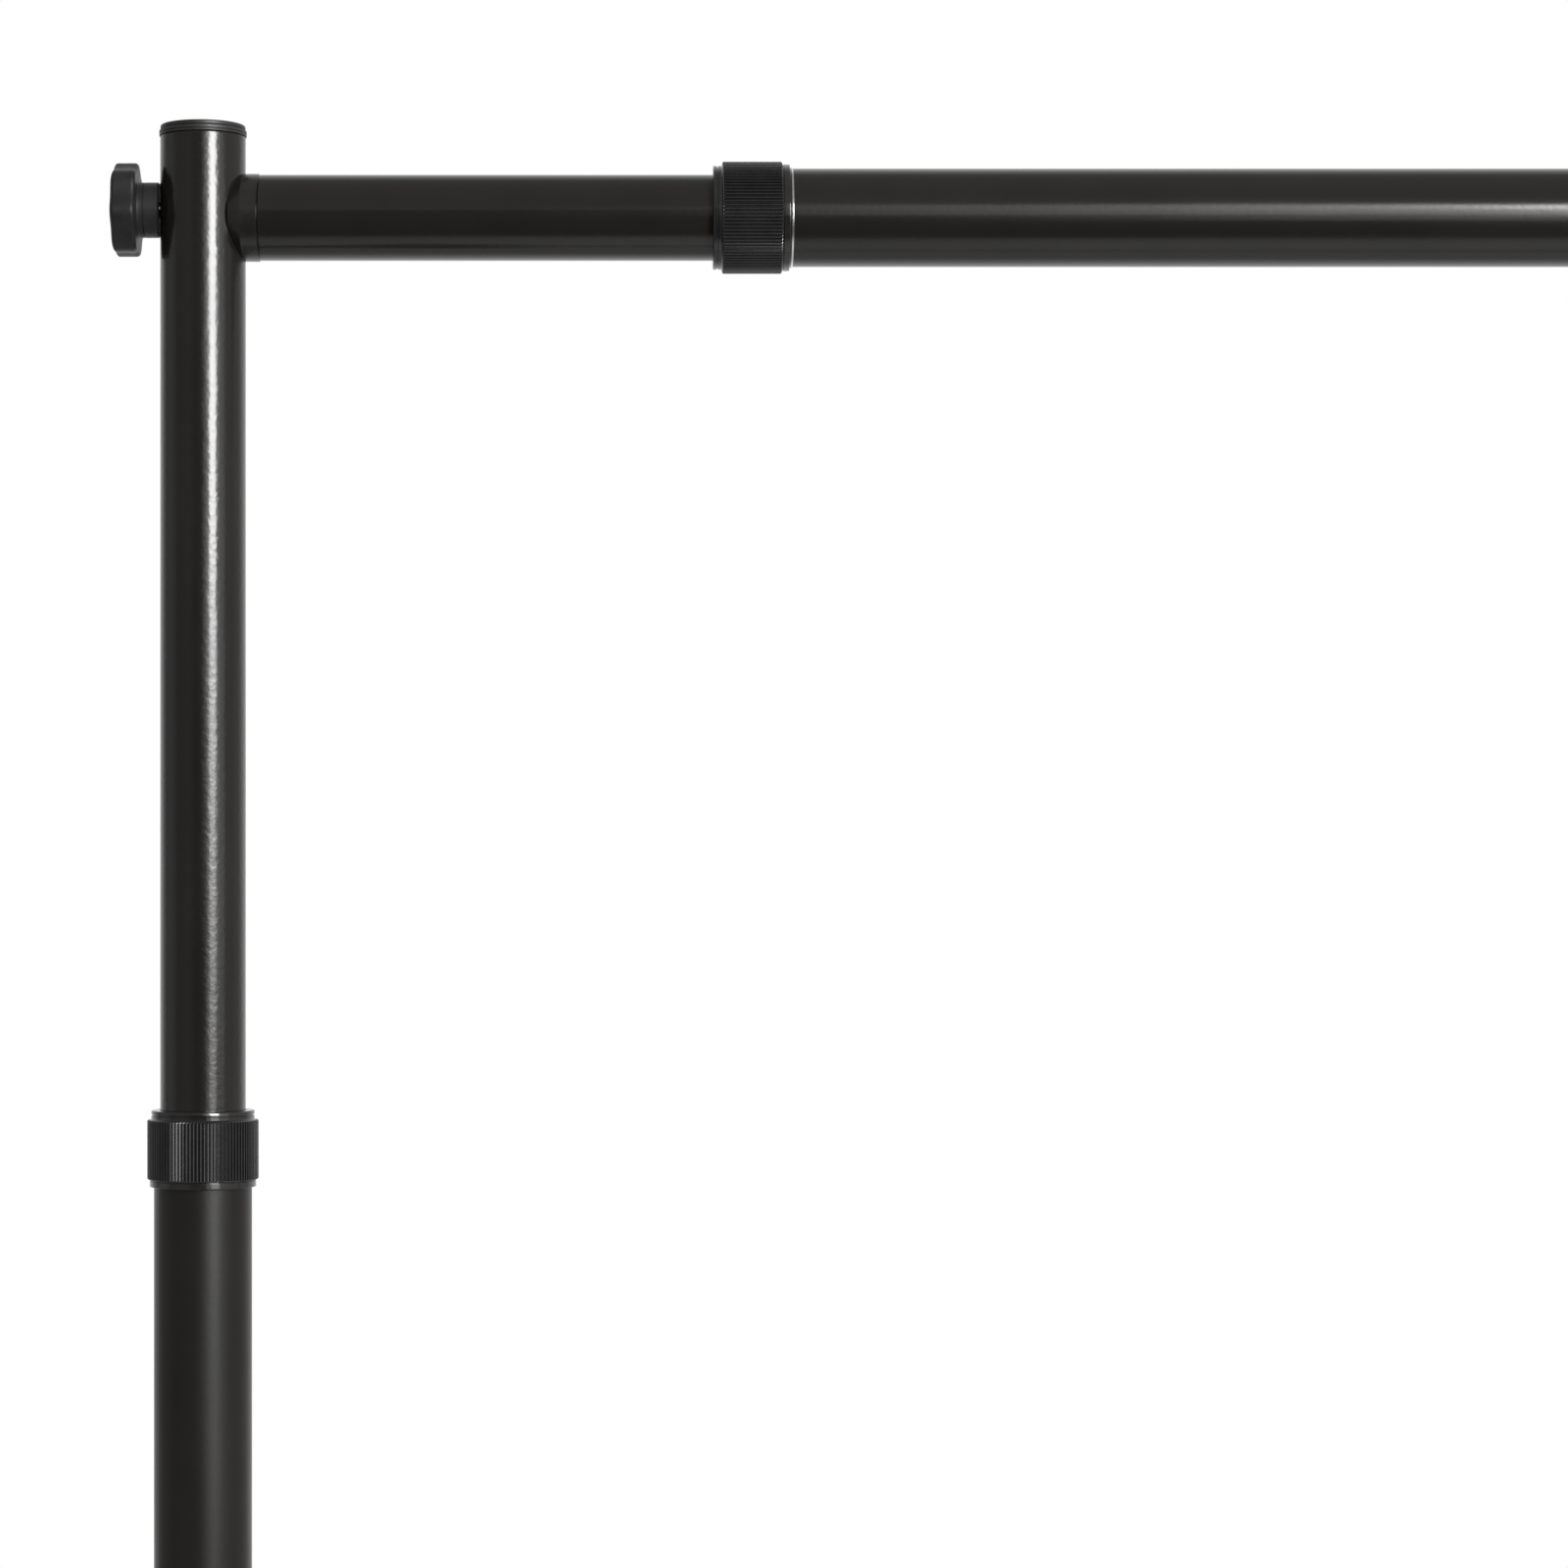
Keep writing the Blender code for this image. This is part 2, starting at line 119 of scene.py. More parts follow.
# Star knob
KNOB_R = 0.0155
KNOB_SETBACK = 0.0011
KNOB_THICKNESS = 0.0084
KNOB_LOBES = 7
LOBE_DEPTH = 0.0014
LOBE_TURN = math.radians(36)
KNOB_FACE_INSET = 0.0060
KNOB_FACE_EDGE = 0.0016
KNOB_FACE_STEPS = 8
KNOB_DISC_R = 0.002
KNOB_BACK_EDGE = 0.0012
NECK_R = 0.0090
NECK_EDGE = 0.0004
NECK_FLARE = 0.0006
NECK_GROOVE_AT = 0.0020
NECK_GROOVE = 0.0002
KNOB_POINTS = 160
STUD_PITCH = 0.001
STUD_THREAD_DEPTH = 0.00055
STUD_BORE_R = 0.0031

# Brass insert
INSERT_TEETH = 36
KNURL_DEPTH = 0.0003
INSERT_CHAMFER = 0.0006
INSERT_CHAMFER_DEPTH = 0.0005
INSERT_BORE_EDGE = 0.0003
WAIST_DEPTH = 0.0007
WAIST_HALF = 0.0006
WAIST_HALF_OUTSIDE = 0.0010

# Feet
FOOT_CORNER_R = 0.020
FOOT_EDGE = 0.0012
PAD_CORNER_R = 0.005
PAD_EDGE = 0.0008
SCREW_SHANK_R = 0.004
SCREW_DISC_R = 0.001
HEX_SOCKET_R = 0.0029
HEX_SOCKET_DEPTH = 0.003
SPIGOT_WALL = 0.0025
SPIGOT_BASE = 0.015

# Floor and overhead light
FLOOR_R = 4.0
FLOOR_FADE = (0.40, 1.35)
FLOOR_SQUASH = 0.55
OVERHEAD_PLACE = (0.0, -0.3, 3.6)
OVERHEAD_SIZE = (3.0, 2.0)
OVERHEAD_WATTS = 22

# Softbox and the glow beside it: name, X, Y, width, bottom, top and watts per square metre
LIGHT_PANELS = (
    ("softbox_head", 0.90, -2.94, 1.27, 2.27, 2.90, 85),
    ("softbox_top", 0.98, -2.94, 1.11, 1.79, 2.27, 85),
    ("softbox_upper", 0.98, -2.94, 1.11, 1.61, 1.79, 56),
    ("softbox_middle", 0.98, -2.94, 1.11, 1.34, 1.61, 30),
    ("softbox_lower", 0.98, -2.94, 1.11, 0.85, 1.34, 9),
    ("glow_left", 0.07, -2.94, 0.40, 1.60, 2.90, 8),
    ("glow_left_lower", 0.07, -2.94, 0.40, 0.90, 1.60, 3),
    ("glow_far_left", -0.33, -2.94, 0.40, 1.50, 2.80, 3),
    ("glow_right", 0.75, -1.25, 0.90, 1.20, 2.10, 3),
)

# Studio walls: axis, where along it each begins and is full, and its brightness before and after
WALLS = (
    ("Y", 0.08, 0.92, 0.09, 1.00),
    ("X", 0.25, 0.70, 0.09, 0.48),
    ("X", -0.20, -0.55, 0.09, 0.25),
    ("X", -0.88, -1.00, 0.09, 0.45),
    ("Z", 0.18, 0.24, 0.09, 0.31),
)

BODY_OF = {
    node: body for body, nodes in frame["record"]["behaviour"]["bodies"].items() for node in nodes
}
SIDES = (("left", -1), ("right", 1))
LEVELS = ("top", "bottom")


# Sizes and places read from the frame

def low(node):
    return Vector(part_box(node)[0])


def high(node):
    return Vector(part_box(node)[1])


def centre(node):
    return (low(node) + high(node)) / 2


def extent(node):
    return high(node) - low(node)


def local_frame(origin, direction):
    """Matrix whose Z axis runs along direction."""
    turn = Vector(direction).to_track_quat('Z', 'Y')
    return Matrix.Translation(origin) @ turn.to_matrix().to_4x4()


INNER_R = extent("left_upper_tube").x / 2
OUTER_R = extent("left_lower_tube").x / 2


# Meshes

def skinned(rings, closed):
    """Mesh through rings of equal counts of points: a closed loop of rings, or a row with flat ends."""
    count = len(rings[0])
    points = [point for ring in rings for point in ring]
    pairs = [(a, a + 1) for a in range(len(rings) - 1)]
    if closed:
        pairs.append((len(rings) - 1, 0))
    faces = []
    for a, b in pairs:
        for i in range(count):
            j = (i + 1) % count
            faces.append((a * count + i, a * count + j, b * count + j, b * count + i))
    if not closed:
        faces.append(tuple(range(count)))
        faces.append(tuple(range((len(rings) - 1) * count, len(rings) * count)))
    mesh = bpy.data.meshes.new("form")
    mesh.from_pydata(points, [], faces)
    bm = bmesh.new()
    bm.from_mesh(mesh)
    bmesh.ops.recalc_face_normals(bm, faces=bm.faces)
    bm.to_mesh(mesh)
    bm.free()
    return mesh


def circle(radius, height, sides):
    angles = [2 * math.pi * i / sides for i in range(sides)]
    return [(radius * math.cos(a), radius * math.sin(a), height) for a in angles]


def turned(profile, closed, sides=TURNED_SIDES):
    return skinned([circle(radius, height, sides) for radius, height in profile], closed)


def filleted(corners, closed):
    """Profile of (radius, height, fillet) corners with each corner rounded."""
    points = []
    count = len(corners)
    for i, (radius, height, fillet) in enumerate(corners):
        here = Vector((radius, height))
        is_end = not closed and i in (0, count - 1)
        if is_end or fillet == 0:
            points.append(here)
            continue
        before = Vector(corners[i - 1][:2]) - here
        after = Vector(corners[(i + 1) % count][:2]) - here
        reach = min(fillet, 0.45 * before.length, 0.45 * after.length)
        start = here + before.normalized() * reach
        end = here + after.normalized() * reach
        for step in range(FILLET_STEPS + 1):
            t = step / FILLET_STEPS
            points.append(start * (1 - t) ** 2 + here * 2 * t * (1 - t) + end * t**2)
    return [(point.x, point.y) for point in points]


def evaluated(thing):
    """A plain mesh of the object with its modifiers applied. The object is removed."""
    bpy.context.view_layer.update()
    graph = bpy.context.evaluated_depsgraph_get()
    mesh = bpy.data.meshes.new_from_object(thing.evaluated_get(graph))
    bpy.data.objects.remove(thing, do_unlink=True)
    return mesh


def cut(mesh, *tools):
    """The mesh less each tool, given as (mesh, matrix)."""
    target = bpy.data.objects.new("target", mesh)
    bpy.context.collection.objects.link(target)
    helpers = []
    for tool_mesh, matrix in tools:
        helper = bpy.data.objects.new("tool", tool_mesh)
        helper.matrix_world = matrix
        bpy.context.collection.objects.link(helper)
        boolean = target.modifiers.new("Cut", 'BOOLEAN')
        boolean.operation = 'DIFFERENCE'
        boolean.solver = 'EXACT'
        boolean.object = helper
        helpers.append(helper)
    result = evaluated(target)
    for helper in helpers:
        bpy.data.objects.remove(helper, do_unlink=True)
    return result


def with_even_normals(mesh):
    """The mesh shaded smooth with normals weighted by face area, so that long and flat faces stay true."""
    mesh.shade_smooth()
    mesh.set_sharp_from_angle(angle=SHARP_ANGLE)
    thing = bpy.data.objects.new("shading", mesh)
    bpy.context.collection.objects.link(thing)
    weighted = thing.modifiers.new("Even normals", 'WEIGHTED_NORMAL')
    weighted.keep_sharp = True
    return evaluated(thing)


def shown(name, mesh, matrix, material, body):
    """Puts the mesh in the scene, riding on the body."""
    mesh.materials.clear()
    mesh.materials.append(material)
    form = bpy.data.objects.new(name, with_even_normals(mesh))
    form.matrix_world = matrix
    bpy.context.collection.objects.link(form)
    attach(form, body)
    return form


def stand_for(node, mesh, matrix, material):
    """Shows the mesh in place of the node, on the node's body."""
    form = shown(f"{node}_form", mesh, matrix, material, BODY_OF[node])
    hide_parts(node)


# Materials

class Finish:
    """A Principled material and the nodes that vary it."""

    def __init__(self, name, colour, roughness, metallic=0.0, specular=0.5):
        self.material = bpy.data.materials.new(name)
        self.material.use_nodes = True
        self.tree = self.material.node_tree
        self.shader = self.tree.nodes["Principled BSDF"]
        self.shader.inputs["Base Color"].default_value = (*colour, 1)
        self.shader.inputs["Roughness"].default_value = roughness
        self.shader.inputs["Metallic"].default_value = metallic
        self.shader.inputs["Specular IOR Level"].default_value = specular
        self.place = self.tree.nodes.new("ShaderNodeTexCoord").outputs["Object"]

    def noise(self, cell, stretch=(1, 1, 1), detail=3.0):
        """Noise whose blots are about cell metres across."""
        mapping = self.tree.nodes.new("ShaderNodeMapping")
        mapping.inputs["Scale"].default_value = [s / cell for s in stretch]
        self.tree.links.new(self.place, mapping.inputs["Vector"])
        texture = self.tree.nodes.new("ShaderNodeTexNoise")
        texture.inputs["Scale"].default_value = 1.0
        texture.inputs["Detail"].default_value = detail
        self.tree.links.new(mapping.outputs["Vector"], texture.inputs["Vector"])
        return texture.outputs["Fac"]

    def mapped(self, value, start, end, to_start, to_end):
        node = self.tree.nodes.new("ShaderNodeMapRange")
        node.inputs["From Min"].default_value = start
        node.inputs["From Max"].default_value = end
        node.inputs["To Min"].default_value = to_start
        node.inputs["To Max"].default_value = to_end
        self.tree.links.new(value, node.inputs["Value"])
        return node.outputs["Result"]

    def vary_colour(self, value, dark, light):
        """Runs the base colour from dark to light as value runs from 0.35 to 0.65."""
        mix = self.tree.nodes.new("ShaderNodeMix")
        mix.data_type = 'RGBA'
        mix.inputs["A"].default_value = (*dark, 1)
        mix.inputs["B"].default_value = (*light, 1)
        self.tree.links.new(self.mapped(value, 0.35, 0.65, 0, 1), mix.inputs["Factor"])
        self.tree.links.new(mix.outputs["Result"], self.shader.inputs["Base Color"])

    def vary_roughness(self, value, smooth, rough):
        self.tree.links.new(self.mapped(value, 0.3, 0.7, smooth, rough), self.shader.inputs["Roughness"])

    def bump(self, *heights):
        """Chains (value, depth in metres) bumps into the normal."""
        normal = None
        for value, depth in heights:
            node = self.tree.nodes.new("ShaderNodeBump")
            node.inputs["Strength"].default_value = 1.0
            node.inputs["Distance"].default_value = depth
            self.tree.links.new(value, node.inputs["Height"])
            if normal:
                self.tree.links.new(normal, node.inputs["Normal"])
            normal = node.outputs["Normal"]
        self.tree.links.new(normal, self.shader.inputs["Normal"])


def tube_paint(name, smooth, rough, peel_depth, specular=0.5):
    """Black paint with orange peel, faint draw lines along the tube and soft clouding."""
    finish = Finish(name, (0.0088, 0.0078, 0.0069), rough, specular=specular)
    finish.vary_colour(finish.noise(0.03), (0.0081, 0.0072, 0.0064), (0.0097, 0.0086, 0.0076))
    finish.vary_roughness(finish.noise(0.012, stretch=(1, 1, 0.15)), smooth, rough)
    peel = finish.noise(0.0018, detail=1.5)
    lines = finish.noise(0.0012, stretch=(1, 1, 0.01), detail=2)
    finish.bump((peel, peel_depth), (lines, 0.000004))
    return finish.material


def moulded_plastic(name, colour, smooth, rough, grain_depth, specular=0.5):
    """Black plastic with a fine moulded grain."""
    finish = Finish(name, colour, rough, specular=specular)
    light = tuple(1.25 * c for c in colour)
    dark = tuple(0.85 * c for c in colour)
    finish.vary_colour(finish.noise(0.006), dark, light)
    finish.vary_roughness(finish.noise(0.002), smooth, rough)
    finish.bump((finish.noise(0.00035, detail=2), grain_depth), (finish.noise(0.004), 2 * grain_depth))
    return finish.material


def plated_metal(name, dark, light, smooth, rough):
    finish = Finish(name, light, rough, metallic=1.0)
    finish.vary_colour(finish.noise(0.004), dark, light)
    finish.vary_roughness(finish.noise(0.0015), smooth, rough)
    finish.bump((finish.noise(0.0006), 0.000004))
    return finish.material


def textured_paint(name):
    """Coarse black powder coat."""
    finish = Finish(name, (0.02, 0.019, 0.018), 0.5)
    finish.vary_colour(finish.noise(0.02), (0.017, 0.016, 0.0155), (0.024, 0.023, 0.022))
    finish.vary_roughness(finish.noise(0.003), 0.42, 0.58)
    finish.bump((finish.noise(0.0011, detail=2), 0.00006), (finish.noise(0.006), 0.00004))
    return finish.material


def soft_rubber(name):
    finish = Finish(name, (0.017, 0.017, 0.017), 0.85)
    finish.vary_colour(finish.noise(0.004), (0.013, 0.013, 0.013), (0.024, 0.024, 0.023))
    finish.vary_roughness(finish.noise(0.002), 0.75, 0.95)
    finish.bump((finish.noise(0.0005), 0.00003))
    return finish.material


UPRIGHT_GLOSS = tube_paint("upright_gloss_paint", 0.16, 0.22, 0.000060)
UPRIGHT_SATIN = tube_paint("upright_satin_paint", 0.34, 0.40, 0.000020, specular=0.32)
BAR_GLOSS = tube_paint("bar_gloss_paint", 0.11, 0.16, 0.000012)
BAR_SATIN = tube_paint("bar_satin_paint", 0.16, 0.21, 0.000015)
COLLAR_PLASTIC = moulded_plastic("collar_plastic", (0.009, 0.009, 0.0088), 0.11, 0.16, 0.000002, 0.7)
CAP_PLASTIC = moulded_plastic("cap_plastic", (0.017, 0.0165, 0.016), 0.42, 0.52, 0.000005)
SADDLE_PLASTIC = moulded_plastic("saddle_plastic", (0.0096, 0.0088, 0.0080), 0.18, 0.26, 0.000005)
KNOB_PLASTIC = moulded_plastic("knob_plastic", (0.011, 0.011, 0.0108), 0.42, 0.52, 0.000008, 0.32)
INNER_PLASTIC = moulded_plastic("inner_plastic", (0.030, 0.030, 0.030), 0.45, 0.60, 0.000010)
ZINC = plated_metal("zinc_plate", (0.42, 0.42, 0.41), (0.60, 0.60, 0.58), 0.25, 0.38)
BRASS = plated_metal("turned_brass", (0.58, 0.40, 0.16), (0.76, 0.56, 0.25), 0.22, 0.34)
BRIGHT_METAL = plated_metal("bright_ring_metal", (0.75, 0.75, 0.75), (0.88, 0.88, 0.87), 0.18, 0.30)
FOOT_PAINT = textured_paint("foot_powder_coat")
RUBBER = soft_rubber("pad_rubber")


# Tubes

def tube_mesh(radius, length, bands=()):
    """Hollow tube along Z from 0, with spare rings at the bands so that holes are cut in short faces."""
    bore = radius - TUBE_WALL
    outer = [(radius, z, 0) for z in sorted(bands, reverse=True)]
    inner = [(bore, z, 0) for z in sorted(bands)]
    corners = [
        (radius, length, TUBE_EDGE),
        *outer,
        (radius, 0, TUBE_EDGE),
        (bore, 0, TUBE_EDGE),
        *inner,
        (bore, length, TUBE_EDGE),
    ]
    return turned(filleted(corners, closed=True), closed=True, sides=TUBE_SIDES)


def drilled_tube(radius, length, hole_height):
    """Tube with a bolt hole through both walls along X."""
    bands = (hole_height - BOLT_HOLE_BAND, hole_height + BOLT_HOLE_BAND)
    drill = turned([(BOLT_HOLE_R, -2 * radius), (BOLT_HOLE_R, 2 * radius)], closed=False, sides=DRILL_SIDES)
    place = local_frame((0, 0, hole_height), (1, 0, 0))
    return cut(tube_mesh(radius, length, bands), (drill, place))


def add_tubes():
    for side, _ in SIDES:
        for part, radius, level, paint in (
            ("upper", INNER_R, "top", UPRIGHT_GLOSS),
            ("lower", OUTER_R, "bottom", UPRIGHT_SATIN),
        ):
            node = f"{side}_{part}_tube"
            origin = Vector((centre(node).x, 0, low(node).z))
            hole_height = centre(f"{level}_{side}_stud").z - origin.z
            mesh = drilled_tube(radius, extent(node).z, hole_height)
            stand_for(node, mesh, Matrix.Translation(origin), paint)
    for level in LEVELS:
        node = f"{level}_centre_tube"
        origin = Vector((low(node).x, 0, centre(node).z))
        stand_for(node, tube_mesh(OUTER_R, extent(node).x), local_frame(origin, (1, 0, 0)), BAR_SATIN)
        for side, _ in SIDES:
            node = f"{level}_{side}_end_tube"
            origin = Vector((low(node).x, 0, centre(node).z))
            stand_for(node, tube_mesh(INNER_R, extent(node).x), local_frame(origin, (1, 0, 0)), BAR_GLOSS)


# Twist locks

def lock_places():
    """Name, place of the outer tube's open end and way out of it, for each lock."""
    for side, _ in SIDES:
        tube = f"{side}_lower_tube"
        yield f"{side}_mast", Vector((centre(tube).x, 0, high(tube).z)), Vector((0, 0, 1))
    for level in LEVELS:
        tube = f"{level}_centre_tube"
        for side, sign in SIDES:
            end = (high(tube) if sign > 0 else low(tube)).x
            yield f"{level}_{side}", Vector((end, 0, centre(tube).z)), Vector((sign, 0, 0))


def along(node, origin, way):
    """Lowest and highest reach of a node along the way from origin."""
    reaches = sorted((corner - origin).dot(way) for corner in (low(node), high(node)))
    return reaches[0], reaches[1]


def rib_ring(crest, depth, height):
    """Ring of points that rise and fall with the ribs, each steep on one side and sloped on the other."""
    shape = ((0.00, 1.0), (0.10, 1.0), (0.22, 0.0), (0.42, 0.0), (0.52, 0.10))
    points = []
    for rib in range(RIB_COUNT):
        for share, hollow in shape:
            angle = 2 * math.pi * (rib + share) / RIB_COUNT
            radius = crest - depth * hollow
            points.append((radius * math.cos(angle), radius * math.sin(angle), height))
    return points


def nut_mesh(start, end, crest):
    """Ribbed nut with chamfered ends, a plain lip and a bore that narrows to a cone."""
    shoulder = end - LIP_LENGTH
    root = crest - RIB_DEPTH
    lip_bore = INNER_R + SEAT_GAP
    cone_end = shoulder - CONE_MARGIN
    groove_low = shoulder + 0.5 * LIP_LENGTH - LIP_GROOVE
    groove_high = shoulder + 0.5 * LIP_LENGTH + LIP_GROOVE
    rings = [
        rib_ring(root - 0.0001, 0, start),
        rib_ring(crest - 0.0002, 0.5 * RIB_DEPTH, start + 0.5 * NUT_CHAMFER),
        rib_ring(crest, RIB_DEPTH, start + NUT_CHAMFER),
        rib_ring(crest, RIB_DEPTH, shoulder - NUT_CHAMFER),
        rib_ring(crest - 0.0002, 0.5 * RIB_DEPTH, shoulder - 0.5 * NUT_CHAMFER),
        rib_ring(root - 0.0001, 0, shoulder),
        rib_ring(LIP_R + 0.0002, 0, shoulder + 0.00005),
        rib_ring(LIP_R, 0, shoulder + 0.0003),
        rib_ring(LIP_R, 0, groove_low),
        rib_ring(LIP_R - LIP_GROOVE, 0, groove_low + 0.5 * LIP_GROOVE),
        rib_ring(LIP_R - LIP_GROOVE, 0, groove_high - 0.5 * LIP_GROOVE),
        rib_ring(LIP_R, 0, groove_high),
        rib_ring(LIP_R, 0, end - 0.0004),
        rib_ring(LIP_R - 0.00015, 0, end - 0.0001),
        rib_ring(LIP_R - 0.0005, 0, end),
        rib_ring(lip_bore + 0.0004, 0, end),
        rib_ring(lip_bore, 0, end - 0.0004),
        rib_ring(lip_bore, 0, cone_end),
        rib_ring(lip_bore + CONE_STEP, 0, cone_end),
        rib_ring(NUT_BORE_R, 0, CONE_START),
        rib_ring(NUT_BORE_R, 0, start),
    ]
    return skinned(rings, closed=True)


def collet_mesh(flange_low, finger_end):
    """Sleeve over the tube's end: flange, socket, shoulder and tapered fingers with slits."""
    socket_bore = OUTER_R + SEAT_GAP
    socket = NUT_BORE_R - SEAT_GAP
    finger_bore = INNER_R + SEAT_GAP
    flange_r = socket + FLANGE_PROUD
    flange_top = flange_low + FLANGE_LENGTH
    corners = [
        (finger_bore + FINGER_TIP_WALL, finger_end, 0.0003),
        (socket, COLLET_SHOULDER, 0.0002),
        (socket, flange_top, 0.0001),
        (flange_r, flange_top, 0.0003),
        (flange_r, flange_low, 0.0003),
        (socket_bore, flange_low, 0.0002),
        (socket_bore, SEAT_GAP, 0.0002),
        (finger_bore, SEAT_GAP, 0.0002),
        (finger_bore, finger_end, 0.0003),
    ]
    body = turned(filleted(corners, closed=True), closed=True)
    half = SLIT_HALF_WIDTH
    slit_ring = [(1, half), (-1, half), (-1, -half), (1, -half)]
    slit_reach = 1.2 * socket
    slit_ends = (COLLET_SHOULDER + 0.0004, finger_end + 0.002)
    slit = skinned(
        [[(slit_reach * x, y, z) for x, y in slit_ring] for z in slit_ends],
        closed=False,
    )
    quarter = Matrix.Rotation(math.pi / 2, 4, 'Z')
    return cut(body, (slit, Matrix.Identity(4)), (slit.copy(), quarter))


def guide_plug_mesh(start, end, rim):
    """Plug with a grooved rim that runs in the outer tube and a stem in the inner tube."""
    guide_r = OUTER_R - TUBE_WALL - SEAT_GAP
    stem_r = INNER_R - TUBE_WALL - SEAT_GAP
    corners = [
        (END_DISC_R, end, 0),
        (stem_r, end, 0.001),
        (stem_r, rim, 0),
        (guide_r, rim, 0.0004),
        (guide_r, start + 0.6 * (rim - start), 0),
        (guide_r - PLUG_GROOVE, start + 0.55 * (rim - start), 0),
        (guide_r - PLUG_GROOVE, start + 0.40 * (rim - start), 0),
        (guide_r, start + 0.35 * (rim - start), 0),
        (guide_r, start, 0.0008),
        (END_DISC_R, start, 0),
    ]
    return turned(filleted(corners, closed=False), closed=False)


def bright_ring_mesh(end):
    """Polished ring round the outer tube, between two narrow gaps, against the collet."""
    bore = OUTER_R + SEAT_GAP
    edge = 0.00015
    corners = [
        (BRIGHT_RING_R, end, edge),
        (BRIGHT_RING_R, end - BRIGHT_RING_LENGTH, edge),
        (bore, end - BRIGHT_RING_LENGTH, edge),
        (bore, end, edge),
    ]
    return turned(filleted(corners, closed=True), closed=True, sides=TUBE_SIDES)


def add_locks():
    for name, origin, way in lock_places():
        place = local_frame(origin, way)
        nut = f"{name}_lock_nut"
        start, end = along(nut, origin, way)
        crest = (extent(nut) - way * extent(nut).dot(way)).length / math.sqrt(2) / 2
        stand_for(nut, nut_mesh(start, end, crest), place, COLLAR_PLASTIC)
        collet = f"{name}_collet"
        flange_low, finger_end = along(collet, origin, way)
        stand_for(collet, collet_mesh(flange_low, finger_end), place, COLLAR_PLASTIC)
        if way.z == 0:
            ring = bright_ring_mesh(flange_low - BRIGHT_RING_GAP)
            shown(f"{name}_bright_ring", ring, place, BRIGHT_METAL, BODY_OF[collet])
        plug = f"{name}_guide_plug"
        start, end = along(plug, origin, way)
        rim = start + PLUG_RIM_LENGTH
        stand_for(plug, guide_plug_mesh(start, end, rim - SEAT_GAP), place, INNER_PLASTIC)


# Caps

def add_caps():
    """Stepped cap with a rounded crown, plugged into the upper tube."""
    for side, _ in SIDES:
        node = f"{side}_cap"
        top = high(node).z
        seam = high(f"{side}_upper_tube").z
        stem_low = low(node).z
        rim_r = extent(node).x / 2
        stem_r = INNER_R - TUBE_WALL - SEAT_GAP
        step = seam + CAP_RIM_HEIGHT
        groove = seam + CAP_RIM_HEIGHT / 2
        upper_r = rim_r - CAP_STEP
        upper_groove = step + CAP_UPPER_GROOVE_AT
        corners = [
            (CAP_DISC_R, top, 0),
            (upper_r, top, CAP_EDGE),
            (upper_r, upper_groove + CAP_GROOVE, 0),
            (upper_r - CAP_GROOVE, upper_groove, 0),
            (upper_r, upper_groove - CAP_GROOVE, 0),
            (upper_r, step, 0.0001),
            (rim_r, step, 0.0003),
            (rim_r, groove + CAP_GROOVE, 0),
            (rim_r - CAP_GROOVE, groove, 0),
            (rim_r, groove - CAP_GROOVE, 0),
            (rim_r, seam + SEAT_GAP, 0.0003),
            (stem_r, seam + SEAT_GAP, 0.0001),
            (stem_r, stem_low, 0.001),
            (CAP_DISC_R, stem_low, 0),
        ]
        shifted = [(radius, z - seam, fillet) for radius, z, fillet in corners]
        mesh = turned(filleted(shifted, closed=False), closed=False)
        stand_for(node, mesh, Matrix.Translation((centre(node).x, 0, seam)), CAP_PLASTIC)


# Corners, each in a frame on the upright's axis whose X runs along the crossbar

def corner_frame(level, side, sign):
    z = centre(f"{level}_{side}_end_tube").z
    turn = Matrix.Rotation(math.pi if sign > 0 else 0, 4, 'Z')
    return Matrix.Translation((centre(f"{side}_upper_tube").x, 0, z)) @ turn


def saddle_mesh(mast_r, stem_length, bolt_rise):
    """Fitting whose wings reach round the upright, cut to the upright's curve."""
    seat_r = mast_r + SEAT_GAP
    tip = mast_r - WING_REACH
    seam = mast_r + SADDLE_RING
    stem_r = INNER_R - TUBE_WALL - SEAT_GAP
    corners = [
        (END_DISC_R, seam + stem_length, 0),
        (stem_r, seam + stem_length, 0.0008),
        (stem_r, seam, 0),
        (SADDLE_R, seam, 0.3 * SADDLE_EDGE),
        (SADDLE_R, tip + NOSE_LENGTH, SADDLE_EDGE),
        (SADDLE_R - NOSE_DEPTH, tip, 0.5 * SADDLE_EDGE),
        (END_DISC_R, tip, 0),
    ]
    body = turned(filleted(corners, closed=False), closed=False, sides=TUBE_SIDES)
    body.transform(local_frame((0, 0, 0), (1, 0, 0)))
    reach = 3 * SADDLE_R
    seat = turned([(seat_r, -reach), (seat_r, reach)], closed=False, sides=TUBE_SIDES)
    pocket = turned([(POCKET_R, 0), (POCKET_R, seam + POCKET_DEPTH)], closed=False, sides=DRILL_SIDES)
    return cut(body, (seat, Matrix.Identity(4)), (pocket, local_frame((0, 0, bolt_rise), (1, 0, 0))))


def lobe_ring(inset, height):
    """Knob outline, drawn in by inset."""
    points = []
    for i in range(KNOB_POINTS):
        angle = 2 * math.pi * i / KNOB_POINTS
        hollow = (1 - math.cos(KNOB_LOBES * (angle - LOBE_TURN))) / 2
        reach = KNOB_R - LOBE_DEPTH * hollow - inset
        points.append((reach * math.cos(angle), reach * math.sin(angle), height))
    return points


def quarter_steps(size):
    """(inset, depth) pairs down a round edge."""
    for step in range(FILLET_STEPS + 2):
        angle = math.pi / 2 * step / (FILLET_STEPS + 1)
        yield size * (1 - math.sin(angle)), size * (1 - math.cos(angle))


